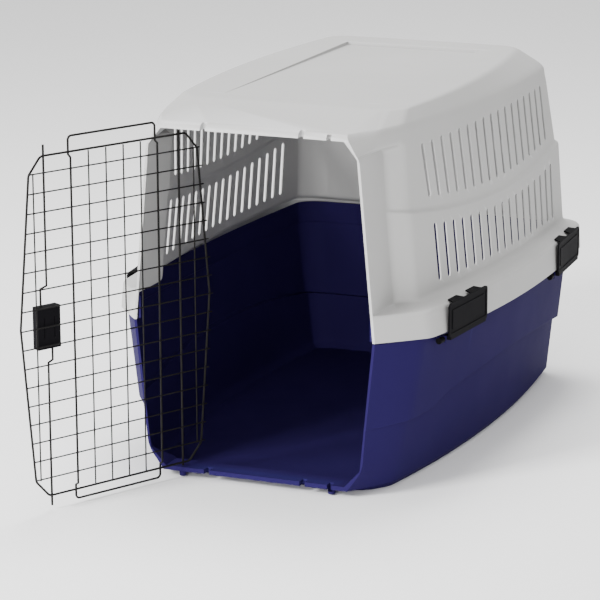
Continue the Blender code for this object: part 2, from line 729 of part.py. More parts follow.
def make_door_latch(hinge):
    """Case on the outer face of the door, with two sprung grips that pull the latch rods in."""
    outer = CASE_INNER - CASE_DEPTH
    inner = CASE_INNER
    left, right = ROD_SPACING - CASE_WIDTH / 2, ROD_SPACING + CASE_WIDTH / 2
    foot, head = CASE_Z - CASE_HEIGHT / 2, CASE_Z + CASE_HEIGHT / 2
    split = THICK + 0.0006
    rods = (("upper", 1, ROD_TOP, UPPER_CRANK), ("lower", -1, ROD_BOTTOM, LOWER_CRANK))

    def back(bm):
        add_box(bm, (left, split + GAP, foot), (right, inner, head))

    def grooves(bm):
        for offset in (-0.0105, 0.0105):
            u = ROD_SPACING + offset
            add_box(bm, (u - 0.0012, inner - 0.0012, CASE_Z - 0.018),
                    (u + 0.0012, inner + 0.01, CASE_Z + 0.018))

    def case(bm):
        add_box(bm, (left, outer, foot), (right, split, head))

    def hollow(bm):
        add_box(bm, (left + CASE_WALL, outer + CASE_WALL, foot + CASE_WALL),
                (right - CASE_WALL, split + 0.01, head - CASE_WALL))

    def windows(bm):
        for _, sign, _, (offset, _) in rods:
            z0 = CASE_Z + sign * 0.004
            z1 = CASE_Z + sign * 0.033
            add_box(bm, (ROD_SPACING - GRIP_WIDTH / 2 - 0.0008, outer - 0.01, min(z0, z1)),
                    (ROD_SPACING + GRIP_WIDTH / 2 + 0.0008, outer + 0.004, max(z0, z1)))
            end = CASE_Z + sign * CASE_HEIGHT / 2
            u = ROD_SPACING + offset
            add_box(bm, (u - 0.0028, -0.0028, end - 0.004), (u + 0.0028, 0.0028, end + 0.004))

    back_plate = add_object("latch_back_plate", mesh_from("latch_back_plate", back), black_plastic(), hinge)
    boolean(back_plate, cutter("back_grooves", grooves, hinge))
    cover = add_object("latch_case", mesh_from("latch_case", case), black_plastic(), hinge)
    boolean(cover, cutter("case_hollow", hollow, hinge))
    boolean(cover, cutter("case_windows", windows, hinge))

    for name, sign, tip, (offset, rise) in rods:
        start = CASE_Z + sign * (GRIP_HEAD + 0.0005)
        crank = CASE_Z + sign * (CASE_HEIGHT / 2 + rise)
        u = ROD_SPACING + offset
        wire(name + "_latch_rod", [(u, 0, start), (u, 0, crank),
                                   (ROD_SPACING, 0, crank + sign * CRANK_SLOPE), (ROD_SPACING, 0, tip)],
             THICK, hinge)

        def grip(bm):
            z0 = CASE_Z + sign * GRIP_FOOT
            z1 = CASE_Z + sign * GRIP_HEAD
            add_box(bm, (ROD_SPACING - GRIP_WIDTH / 2, outer - 0.005, min(z0, z1)),
                    (ROD_SPACING + GRIP_WIDTH / 2, 0.0018, max(z0, z1)))

        grip_mesh = mesh_from(name + "_grip", grip)
        add_object(name + "_grip", grip_mesh, black_plastic(), hinge)

    turns, sides, coil = 6, 9, 0.0036
    low, high = CASE_Z - 0.0205, CASE_Z + 0.0205
    path = []
    for k in range(turns * sides + 1):
        t = k / (turns * sides)
        turn = 2 * math.pi * turns * t
        path.append((ROD_SPACING + coil * math.cos(turn), -0.0028 + coil * math.sin(turn),
                     lerp(low, high, t)))
    wire("latch_spring", path, 0.0006, hinge, look=spring_metal())


def smooth(obj, degrees):
    obj.data.shade_smooth()
    obj.data.set_sharp_from_angle(angle=math.radians(degrees))


def main():
    clear_scene()
    datum = bpy.data.objects.new("carrier_datum", None)
    collection(COLLECTION).objects.link(datum)
    datum.location = (0, -DATUM_Y, 0)
    smooth(make_top_shell(datum), 24)
    smooth(make_bottom_shell(datum), 24)
    for name, side, centre_y in (("front_right_latch", 1, LATCH_CENTRES[0]),
                                 ("rear_right_latch", 1, LATCH_CENTRES[1]),
                                 ("front_left_latch", -1, LATCH_CENTRES[0]),
                                 ("rear_left_latch", -1, LATCH_CENTRES[1])):
        make_side_latch(name, side, centre_y, datum)
    make_door(datum)


main()
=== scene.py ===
"""Looks of the pet transport carrier: moulded shells, side clips, door wire and latch, materials and stage.

Metres, +Z up, +Y to the back. Shell sections are laid out with y = 0 at the rim of the front
opening, as in the CAD part, and moved back by DATUM_Y so that the origin is under the base.
"""
import json
import math

import bmesh
import bpy
from mathutils import Matrix, Vector

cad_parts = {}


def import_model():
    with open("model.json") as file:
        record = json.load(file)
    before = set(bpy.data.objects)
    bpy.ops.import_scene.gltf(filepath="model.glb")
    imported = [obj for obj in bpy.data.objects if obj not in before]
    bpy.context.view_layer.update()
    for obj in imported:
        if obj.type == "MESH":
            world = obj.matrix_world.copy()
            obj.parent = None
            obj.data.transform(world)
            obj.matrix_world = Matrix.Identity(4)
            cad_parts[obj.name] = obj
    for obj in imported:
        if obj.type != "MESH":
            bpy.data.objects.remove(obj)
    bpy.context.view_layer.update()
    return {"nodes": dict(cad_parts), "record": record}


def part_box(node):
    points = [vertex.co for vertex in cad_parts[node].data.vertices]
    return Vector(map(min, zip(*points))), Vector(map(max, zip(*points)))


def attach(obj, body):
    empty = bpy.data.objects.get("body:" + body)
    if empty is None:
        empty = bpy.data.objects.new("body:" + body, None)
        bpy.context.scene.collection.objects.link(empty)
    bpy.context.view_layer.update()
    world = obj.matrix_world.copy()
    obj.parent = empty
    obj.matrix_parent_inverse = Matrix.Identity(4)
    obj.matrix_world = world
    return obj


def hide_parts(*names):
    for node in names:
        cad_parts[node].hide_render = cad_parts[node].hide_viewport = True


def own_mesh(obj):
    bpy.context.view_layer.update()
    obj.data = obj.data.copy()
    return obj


# ---------------------------------------------------------------- dimensions shared with the CAD part
HEIGHT = 0.660
DATUM_Y = 0.473
WALL = 0.0022
MIDDLE_Y = 0.55
SILL_Z, SILL_CHAMFER_Z, SEAM_Z, CHAMFER_Z, HEADER_Z = 0.0204, 0.052, 0.284, 0.6017, 0.6316
OPENING = ((SILL_Z, 0.1705), (SILL_CHAMFER_Z, 0.1996), (SEAM_Z, 0.223), (CHAMFER_Z, 0.1943),
           (HEADER_Z, 0.1705))
RIM_LIP = 0.0045
BEAM_DEPTH = 0.042
HEADER_TOP = 0.642
SILL_UNDER = 0.0125
VENT_FIRST_Y, VENT_PITCH, VENT_WIDTH, VENTS = 0.218, 0.0365, 0.0115, 17
VENT_LEAN = (-0.018, 0.004)
VENT_TOP, VENT_MARGIN, VENT_FOOT_MARGIN = 0.597, 0.020, 0.021
SIDE_CUT = 0.5              # half length of a cutter that passes through both sides
FRONT_CUT = -0.02           # where a cutter starts, ahead of the rim
PANEL_HALF, PANEL_FRONT, PANEL_REAR, PANEL_DEPTH = 0.138, 0.20, 0.798, 0.006
HINGE_X, HINGE_Y = -0.1425, 0.012
ROD_SPACING = 0.285
THICK = 0.0020
LOOP_HALF = 0.0915
ROD_TOP, ROD_BOTTOM = 0.6398, 0.0075
LATCH_LENGTH, LATCH_CENTRES = 0.158, (0.225, 0.778)
LATCH_PLATE, LATCH_STANDOFF, LATCH_TOP_RISE = 0.0035, 0.0022, 0.0040
PIVOT_BELOW_SEAM, PIVOT_INSET, BARREL_RADIUS = 0.010, 0.008, 0.0055
HOOK_LENGTH, HOOK_REACH, HOOK_GAP = 0.045, 0.013, 0.028
HOOK_RISE, KNOB_LENGTH = 0.0026, 0.016
LUG_THICKNESS = 0.005
PIN_RADIUS = 0.0025
LUG_REACH, LUG_HALF_HEIGHT, SNAP_HALF = 0.026, 0.006, 0.0022
PLATE_CORNER, CLIP_EDGE, SHELL_EDGE = 0.0065, 0.0006, 0.0011
LOOP_NOTCH_HALF, KEEPER_HALF, ROD_CLEARANCE = 0.0050, 0.0042, 0.0006
NECK_MARGIN = 0.0062

# how finely the shells are drawn
SIDE_STEPS = 26
CORNER_STEPS = 9
ROUND_STEPS = 4

# the step line on the bottom shell: level at the front, then up to the curve of the side
JOG_START, JOG_END, JOG_Z = 0.165, 0.225, 0.127


# ---------------------------------------------------------------- small helpers
def through(points, y):
    """Value at y of the parabola through three (y, value) points."""
    total = 0.0
    for i, (yi, vi) in enumerate(points):
        weight = 1.0
        for j, (yj, _) in enumerate(points):
            if i != j:
                weight *= (y - yj) / (yi - yj)
        total += vi * weight
    return total


def lerp(a, b, t):
    return a + (b - a) * t


def opening_half(z):
    if z <= SILL_Z:
        return OPENING[0][1]
    for (z0, h0), (z1, h1) in zip(OPENING, OPENING[1:]):
        if z <= z1:
            return lerp(h0, h1, (z - z0) / (z1 - z0))
    return OPENING[-1][1]


def soften(points, reaches):
    """A polyline whose inner corners are turned into short curves, reach long on each side."""
    points = [Vector(p) for p in points]
    out = [points[0]]
    for i in range(1, len(points) - 1):
        here, before, after = points[i], points[i - 1], points[i + 1]
        reach = reaches[i]
        a = here + (before - here) * min(0.45, reach / max((before - here).length, 1e-6))
        b = here + (after - here) * min(0.45, reach / max((after - here).length, 1e-6))
        for k in range(ROUND_STEPS + 1):
            t = k / ROUND_STEPS
            out.append(a.lerp(here, t).lerp(here.lerp(b, t), t))
    out.append(points[-1])
    return out


def add_object(name, mesh, look=None):
    obj = bpy.data.objects.new(name, mesh)
    bpy.context.scene.collection.objects.link(obj)
    if look:
        mesh.materials.append(look)
    return obj


def mesh_from(name, build):
    bm = bmesh.new()
    build(bm)
    bmesh.ops.recalc_face_normals(bm, faces=bm.faces)
    mesh = bpy.data.meshes.new(name)
    bm.to_mesh(mesh)
    bm.free()
    return mesh


def add_box(bm, low, high):
    made = bmesh.ops.create_cube(bm, size=1.0)["verts"]
    for vert in made:
        vert.co = Vector(lerp(low[k], high[k], vert.co[k] + 0.5) for k in range(3))
    return made


def add_cylinder(bm, centre, radius, length, sides=24, turn=None):
    made = bmesh.ops.create_cone(bm, cap_ends=True, segments=sides, radius1=radius,
                                 radius2=radius, depth=length)["verts"]
    if turn:
        bmesh.ops.rotate(bm, verts=made, cent=(0, 0, 0), matrix=turn)
    bmesh.ops.translate(bm, verts=made, vec=centre)
    return made


def add_prism(bm, outline, low, high, axis):
    """An outline pushed from low to high along X ('x', outline of (y, z)) or Y ('y', of (x, z))."""
    def place(point, depth):
        a, b = point
        return (depth, a, b) if axis == "x" else (a, depth, b)
    near = [bm.verts.new(place(p, low)) for p in outline]
    far = [bm.verts.new(place(p, high)) for p in outline]
    bm.faces.new(near)
    bm.faces.new(list(reversed(far)))
    for i in range(len(outline)):
        j = (i + 1) % len(outline)
        bm.faces.new((near[i], far[i], far[j], near[j]))


def carve(target, build, operation='DIFFERENCE', self_crossing=False):
    """Applies one exact boolean with a mesh made by build(bm)."""
    tool = add_object("tool", mesh_from("tool", build))
    modifier = target.modifiers.new("carve", 'BOOLEAN')
    modifier.operation = operation
    modifier.object = tool
    modifier.solver = 'EXACT'
    modifier.use_self = self_crossing
    apply_modifiers(target)
    bpy.data.objects.remove(tool, do_unlink=True)


def apply_modifiers(obj):
    graph = bpy.context.evaluated_depsgraph_get()
    mesh = bpy.data.meshes.new_from_object(obj.evaluated_get(graph))
    obj.modifiers.clear()
    old = obj.data
    obj.data = mesh
    bpy.data.meshes.remove(old)


def round_edges(obj, width, degrees):
    """Rounds the edges sharper than degrees and shades the rest smooth."""
    bevel = obj.modifiers.new("rounding", 'BEVEL')
    bevel.width = width
    bevel.segments = 2
    bevel.limit_method = 'ANGLE'
    bevel.angle_limit = math.radians(degrees)
    bevel.use_clamp_overlap = True
    bevel.harden_normals = False
    apply_modifiers(obj)
    obj.data.shade_smooth()
    obj.data.set_sharp_from_angle(angle=math.radians(30))
    obj.modifiers.new("even_normals", 'WEIGHTED_NORMAL').keep_sharp = True
    apply_modifiers(obj)


# ---------------------------------------------------------------- shell sections
class Section:
    """One level of a shell: where its outline runs, and how high it is front to back."""

    def __init__(self, heights, rim, recess, corner, middle, rear, back, soft=0.003, turns=(0.010, 0.016)):
        self.heights, self.rim, self.recess, self.corner = heights, rim, recess, corner
        self.middle, self.rear, self.back = middle, rear, back
        self.soft = soft            # how far the edge along this section is rounded
        self.turns = turns          # how far the plan is rounded at the recess and at the corner

    def height(self, y):
        front, middle, rear = self.heights
        return through(((0.0, front), (0.5, middle), (0.92, rear)), y)

    def plan(self):
        """(x, y) points of the right half, front to back."""
        side = ((self.corner[1], self.corner[0]), (MIDDLE_Y, self.middle), (self.rear[1], self.rear[0]))
        first = lerp(self.corner[1], self.rear[1], 1 / SIDE_STEPS)
        points = soften([self.rim + (0,), self.recess + (0,), self.corner + (0,),
                         (through(side, first), first, 0)], (0,) + self.turns + (0,))
        points = [(p.x, p.y) for p in points]
        for i in range(2, SIDE_STEPS + 1):
            y = lerp(self.corner[1], self.rear[1], i / SIDE_STEPS)
            points.append((through(side, y), y))
        run_x, run_y = self.rear[0] * 0.2, self.back - self.rear[1]
        for i in range(1, CORNER_STEPS + 1):
            turn = math.pi / 2 * i / CORNER_STEPS
            points.append((self.rear[0] - run_x * (1 - math.cos(turn)),
                           self.rear[1] + run_y * math.sin(turn) * 0.88))
        for t in (0.3, 0.65):
            points.append((lerp(points[-1][0], self.rear[0] * 0.4, t),
                           lerp(points[-1][1], self.back, t)))
        points.append((self.rear[0] * 0.4, self.back))
        return points

    def ring(self, inset=0.0, drop=0.0):
        """(x, y, z) points of the right half, moved in by inset and down by drop."""
        plan = self.plan()
        chain = [(0.0, plan[0][1])] + plan + [(0.0, plan[-1][1])]
        ring = []
        for i, (x, y) in enumerate(plan):
            before, after = chain[i], chain[i + 2]
            a = Vector((x - before[0], y - before[1])).normalized()
            b = Vector((after[0] - x, after[1] - y)).normalized()
            inward = Vector((-a.y, a.x)) + Vector((-b.y, b.x))
            move = inward * inset * 2.0 / max(inward.length_squared, 0.8)
            ring.append(Vector((x + move.x, y + move.y, self.height(y) - drop)))
        return ring


class Stepped(Section):
    """A section on the step line, which jogs down to a level run at the front."""
    lift = 0.0

    def height(self, y):
        t = min(1.0, max(0.0, (y - JOG_START) / (JOG_END - JOG_START)))
        t = t * t * (3 - 2 * t)
        return lerp(JOG_Z + self.lift, super().height(y), t)


def rim_at(z):
    return (opening_half(z) + RIM_LIP, 0.0)


def add_loft(bm, rings, softs):
    """A closed body through right-half rings, rounded from ring to ring and mirrored to the left."""
    columns = [soften([ring[i] for ring in rings], softs) for i in range(len(rings[0]))]
    levels = [[column[k] for column in columns] for k in range(len(columns[0]))]
    right = [[bm.verts.new(p) for p in level] for level in levels]
    left = [[bm.verts.new((-p.x, p.y, p.z)) for p in level] for level in levels]
    last = len(columns) - 1
    for lower in range(len(levels) - 1):
        upper = lower + 1
        for side in (right, left):
            for i in range(last):
                bm.faces.new((side[lower][i], side[lower][i + 1], side[upper][i + 1], side[upper][i]))
        for i in (0, last):
            bm.faces.new((left[lower][i], right[lower][i], right[upper][i], left[upper][i]))
    for level in (0, len(levels) - 1):
        for i in range(last):
            bm.faces.new((left[level][i], right[level][i], right[level][i + 1], left[level][i + 1]))


SEAM = (SEAM_Z, 0.264, 0.262)
SKIRT_FOOT = Section(SEAM, rim_at(SEAM_Z), (0.262, 0.043), (0.298, 0.089), 0.330,
                     (0.316, 0.890), 0.946, 0.002)
SKIRT_TOP = Section((0.330, 0.315, 0.309), rim_at(0.330), (0.259, 0.044), (0.294, 0.091), 0.327,
                    (0.314, 0.888), 0.943, 0.006)
WALL_FOOT = Section((0.336, 0.321, 0.318), rim_at(0.336), (0.2225, 0.108), (0.256, 0.126), 0.294,
                    (0.284, 0.878), 0.912, 0.010)
BELOW_LEDGE = Section((0.512, 0.452, 0.482), rim_at(0.512), (0.208, 0.108), (0.241, 0.129), 0.282,
                      (0.276, 0.866), 0.898, 0.003)
ABOVE_LEDGE = Section((0.517, 0.457, 0.487), rim_at(0.517), (0.207, 0.112), (0.235, 0.132), 0.276,
                      (0.270, 0.860), 0.892, 0.005)
UNDER_BROW = Section((0.600, 0.600, 0.600), rim_at(0.600), (0.200, 0.112), (0.229, 0.132), 0.261,
                     (0.252, 0.854), 0.884, 0.012)
BROW_FOOT = Section((0.610, 0.610, 0.610), rim_at(0.610), (0.210, 0.062), (0.228, 0.130), 0.259,
                    (0.250, 0.852), 0.882, 0.008)
ROOF_CREASE = Section((HEADER_TOP, 0.628, 0.628), (0.174, 0.0), (0.206, 0.066), (0.226, 0.130), 0.258,
                      (0.248, 0.852), 0.880, 0.014)
ROOF_EDGE = Section((HEIGHT,) * 3, (0.172, 0.156), (0.188, 0.160), (0.214, 0.190), 0.230,
                    (0.198, 0.832), 0.872, 0.009)
ROOF_FLAT = Section((HEIGHT,) * 3, (0.158, 0.176), (0.170, 0.180), (0.190, 0.204), 0.205,
                    (0.176, 0.812), 0.850, 0.0)

BASE = Section((0.0,) * 3, (0.160, 0.045), (0.192, 0.058), (0.220, 0.092), 0.264, (0.245, 0.880), 0.902)
BASE_EDGE = Section((0.012,) * 3, (0.165, 0.045), (0.198, 0.052), (0.229, 0.085), 0.272,
                    (0.253, 0.884), 0.910, 0.008)
SILL_FOOT = Section((SILL_UNDER,) * 3, rim_at(SILL_Z), (0.205, 0.042), (0.231, 0.083), 0.273,
                    (0.254, 0.884), 0.911, 0.0003)
SILL_SIDE = Section((SILL_CHAMFER_Z,) * 3, rim_at(SILL_CHAMFER_Z), (0.223, 0.042), (0.240, 0.083), 0.277,
                    (0.258, 0.884), 0.913, 0.016)
BELOW_STEP = Stepped((0.116, 0.149, 0.112), rim_at(0.116), (0.234, 0.042), (0.253, 0.084), 0.284,
                     (0.265, 0.884), 0.916, 0.0008)
ABOVE_STEP = Stepped((0.1175, 0.1505, 0.1135), rim_at(0.121), (0.240, 0.041), (0.262, 0.083), 0.293,
                     (0.274, 0.887), 0.925, 0.0016)
ABOVE_STEP.lift = 0.0015
UNDER_SEAM = Section(tuple(z - 0.0020 for z in SEAM), rim_at(SEAM_Z), (0.256, 0.042), (0.284, 0.088), 0.304,
                     (0.289, 0.888), 0.930, 0.001)
NECK_FOOT = Section(tuple(z + 0.0006 for z in SEAM), (0.2203, 0.0038), (0.252, 0.046), (0.281, 0.090), 0.303,
                    (0.288, 0.887), 0.929, 0.0005)
NECK_TOP = Section((0.325, 0.310, 0.304), (0.2198, 0.0040), (0.248, 0.048), (0.278, 0.092), 0.302,
                   (0.287, 0.886), 0.928)


def loft_of(bm, levels):
    """Levels are (section, inset, drop)."""
    add_loft(bm, [s.ring(inset, drop) for s, inset, drop in levels], [s.soft for s, _, _ in levels])


def opening_outline(low, high):
    levels = [low] + [z for z, _ in OPENING if low < z < high] + [high]
    right = [(opening_half(z), z) for z in levels]
    return right + [(-x, z) for x, z in reversed(right)]


def slot_outline(y, low, high, lean=0.0):
    """(y, z) outline of a vent slot with round ends, its top moved by lean."""
    half = VENT_WIDTH / 2
    turns = [i * math.pi / 6 for i in range(7)]
    points = [(y - half * math.cos(a), low + half * (1 - math.sin(a))) for a in turns]
    points += [(y + half * math.cos(a), high - half * (1 - math.sin(a))) for a in turns]
    return [(py + lean * (pz - low) / (high - low), pz) for py, pz in points]


def vents(bm):
    for i in range(VENTS):
        y = VENT_FIRST_Y + VENT_PITCH * i
        lean = lerp(*VENT_LEAN, i / (VENTS - 1))
        add_prism(bm, slot_outline(y, ABOVE_LEDGE.height(y) + VENT_MARGIN, VENT_TOP, lean),
                  -SIDE_CUT, SIDE_CUT, "x")
        low, high = WALL_FOOT.height(y) + VENT_FOOT_MARGIN, BELOW_LEDGE.height(y) - VENT_MARGIN
        add_prism(bm, slot_outline(y, low, high), -SIDE_CUT, SIDE_CUT, "x")


def rod_slots(bm, loop_low, loop_high, rod_low, rod_high):
    """Open-fronted slots for the door's loop and for the tip of its latch rod."""
    for x in (-LOOP_HALF, LOOP_HALF):
        add_box(bm, (x - LOOP_NOTCH_HALF, -0.01, loop_low),
                (x + LOOP_NOTCH_HALF, HINGE_Y + 0.005, loop_high))
    x = HINGE_X + ROD_SPACING
    add_box(bm, (x - KEEPER_HALF, -0.01, rod_low), (x + KEEPER_HALF, HINGE_Y + 0.0032, rod_high))


def move_to_frame(obj):
    obj.data.transform(Matrix.Translation((0, -DATUM_Y, 0)))


def make_top_shell(look):
    def outer(bm):
        loft_of(bm, [(s, 0, 0) for s in (SKIRT_FOOT, SKIRT_TOP, WALL_FOOT, BELOW_LEDGE, ABOVE_LEDGE,
                                         UNDER_BROW, BROW_FOOT, ROOF_CREASE, ROOF_EDGE, ROOF_FLAT)])

    def inner(bm):
        crease = Section((0.6316, 0.618, 0.618), (0.172, BEAM_DEPTH), (0.203, 0.070), (0.226, 0.130), 0.258,
                         (0.248, 0.852), 0.880, 0.010)
        loft_of(bm, [(SKIRT_FOOT, WALL, 0.03), (SKIRT_TOP, WALL, WALL), (WALL_FOOT, WALL, WALL),
                     (BELOW_LEDGE, WALL, WALL), (ABOVE_LEDGE, WALL, 0), (UNDER_BROW, WALL, 0),
                     (BROW_FOOT, WALL, 0), (crease, WALL, 0), (ROOF_EDGE, 0.006, 0.012),
                     (ROOF_FLAT, 0.006, 0.012)])

    def front(bm):
        add_prism(bm, opening_outline(0.2, HEADER_Z), FRONT_CUT, BEAM_DEPTH + 0.004, "y")

    def panel(bm):
        made = add_box(bm, (-PANEL_HALF, PANEL_FRONT, HEIGHT - 0.0002),
                       (PANEL_HALF, PANEL_REAR, HEIGHT + 0.01))
        for vert in made:
            if vert.co.z < HEIGHT + 0.005 and vert.co.y > MIDDLE_Y:
                vert.co.z -= PANEL_DEPTH

    def details(bm):
        rod_slots(bm, HEADER_Z - 0.01, HEADER_TOP + 0.01, HEADER_Z - 0.01, ROD_TOP + 0.0012)
        add_cylinder(bm, (HINGE_X, HINGE_Y, HEADER_Z), THICK + ROD_CLEARANCE,
                     (ROD_TOP - HEADER_Z + 0.001) * 2)

    shell = add_object("shell_top", mesh_from("shell_top", outer), look)
    for build in (inner, front, panel, vents, details):
        carve(shell, build)
    round_edges(shell, SHELL_EDGE, 38)
    move_to_frame(shell)
    return shell


def skirt_frame(side, centre_y):
    """Hinge axis of a side clip where it passes the clip's middle, and its turn about Z."""
    line = ((SKIRT_FOOT.corner[1], SKIRT_FOOT.corner[0]), (MIDDLE_Y, SKIRT_FOOT.middle),
            (SKIRT_FOOT.rear[1], SKIRT_FOOT.rear[0]))
    near, far = through(line, centre_y - LATCH_LENGTH / 2), through(line, centre_y + LATCH_LENGTH / 2)
    x = through(line, centre_y)
    angle = -math.atan2(far - near, LATCH_LENGTH) * side
    return Vector((side * (x - PIVOT_INSET), centre_y, SKIRT_FOOT.height(centre_y) - PIVOT_BELOW_SEAM)), angle


def clips():
    for side, side_name in ((1, "right"), (-1, "left")):
        for centre_y, end_name in zip(LATCH_CENTRES, ("front", "rear")):
            point, angle = skirt_frame(side, centre_y)
            yield "%s_%s_latch" % (end_name, side_name), side, centre_y, point, angle


def placed(bm, verts, point, angle):
    bmesh.ops.rotate(bm, verts=verts, cent=(0, 0, 0), matrix=Matrix.Rotation(angle, 3, 'Z'))
    bmesh.ops.translate(bm, verts=verts, vec=point)


LENGTHWAYS = Matrix.Rotation(math.pi / 2, 3, 'X')


def make_bottom_shell(look):
    def outer(bm):
        loft_of(bm, [(s, 0, 0) for s in (BASE, BASE_EDGE, SILL_FOOT, SILL_SIDE, BELOW_STEP, ABOVE_STEP,
                                         UNDER_SEAM, NECK_FOOT, NECK_TOP)])

    def inner(bm):
        floor = Section((WALL,) * 3, (0.160, 0.048), (0.190, 0.061), (0.219, 0.093), 0.264,
                        (0.245, 0.880), 0.902)
        over_sill = Section((SILL_Z + 0.004,) * 3, (0.176, BEAM_DEPTH), (0.208, 0.050), (0.233, 0.083), 0.274,
                            (0.255, 0.884), 0.911, 0.001)
        loft_of(bm, [(floor, WALL, 0), (BASE_EDGE, WALL, -0.001), (over_sill, WALL, 0), (SILL_SIDE, WALL, 0),
                     (BELOW_STEP, WALL, 0), (ABOVE_STEP, WALL, 0), (UNDER_SEAM, WALL, 0),
                     (NECK_FOOT, WALL, 0), (NECK_TOP, WALL, -0.02)])

    def lugs(bm):
        for _, side, _, point, angle in clips():
            for end in (1, -1):
                y = end * (LATCH_LENGTH - LUG_THICKNESS) / 2
                near, far = sorted((-LUG_REACH * side, BARREL_RADIUS * side))
                made = add_box(bm, (near, y - LUG_THICKNESS / 2, -LUG_HALF_HEIGHT),
                               (far, y + LUG_THICKNESS / 2, LUG_HALF_HEIGHT))
                placed(bm, made, point, angle)

    def studs(bm):
        for x in (HINGE_X, HINGE_X + ROD_SPACING):
            add_cylinder(bm, (x, HINGE_Y, 0.0085), 0.0065, 0.0125)

    def front(bm):
        add_prism(bm, opening_outline(SILL_Z, SEAM_Z + 0.002), FRONT_CUT, BEAM_DEPTH + 0.004, "y")

    def neck(bm):
        half = opening_half(SEAM_Z) - NECK_MARGIN
        add_prism(bm, [(-half, SEAM_Z - 0.01), (half, SEAM_Z - 0.01), (half, 0.35), (-half, 0.35)],
                  FRONT_CUT, BEAM_DEPTH + 0.004, "y")

    def details(bm):
        rod_slots(bm, SILL_UNDER - 0.02, SILL_Z + 0.01, ROD_BOTTOM - 0.0012, SILL_Z + 0.01)
        add_cylinder(bm, (HINGE_X, HINGE_Y, SILL_Z), THICK + ROD_CLEARANCE,
                     (SILL_Z - ROD_BOTTOM + 0.001) * 2)

    def pin_holes(bm):
        for _, _, _, point, angle in clips():
            for end in (1, -1):
                made = add_cylinder(bm, (0, end * LATCH_LENGTH / 2, 0), PIN_RADIUS + 0.0005,
                                    LUG_THICKNESS * 3, 16, LENGTHWAYS)
                placed(bm, made, point, angle)

    def snap_slots(bm):
        for _, _, _, point, angle in clips():
            for end in (1, -1):
                y = end * LATCH_LENGTH / 2
                made = add_box(bm, (-SNAP_HALF, y - LUG_THICKNESS * 1.5, -0.01),
                               (SNAP_HALF, y + LUG_THICKNESS * 1.5, 0))
                placed(bm, made, point, angle)

    shell = add_object("shell_bottom", mesh_from("shell_bottom", outer), look)
    for build in (lugs, studs):
        carve(shell, build, 'UNION')
    for build in (inner, front, neck, details, pin_holes, snap_slots):
        carve(shell, build)
    round_edges(shell, SHELL_EDGE, 38)
    move_to_frame(shell)
    return shell


# ---------------------------------------------------------------- side clips
def rounded_outline(half, low, high, radius):
    """(y, z) outline of a rectangle with rounded corners."""
    corners = ((half, high, 0), (-half, high, 1), (-half, low, 2), (half, low, 3))
    points = []
    for y, z, quarter in corners:
        cy, cz = y - math.copysign(radius, y), z - radius if z == high else z + radius
        for k in range(6):
            turn = (quarter + k / 5) * math.pi / 2
            points.append((cy + radius * math.cos(turn), cz + radius * math.sin(turn)))
    return points


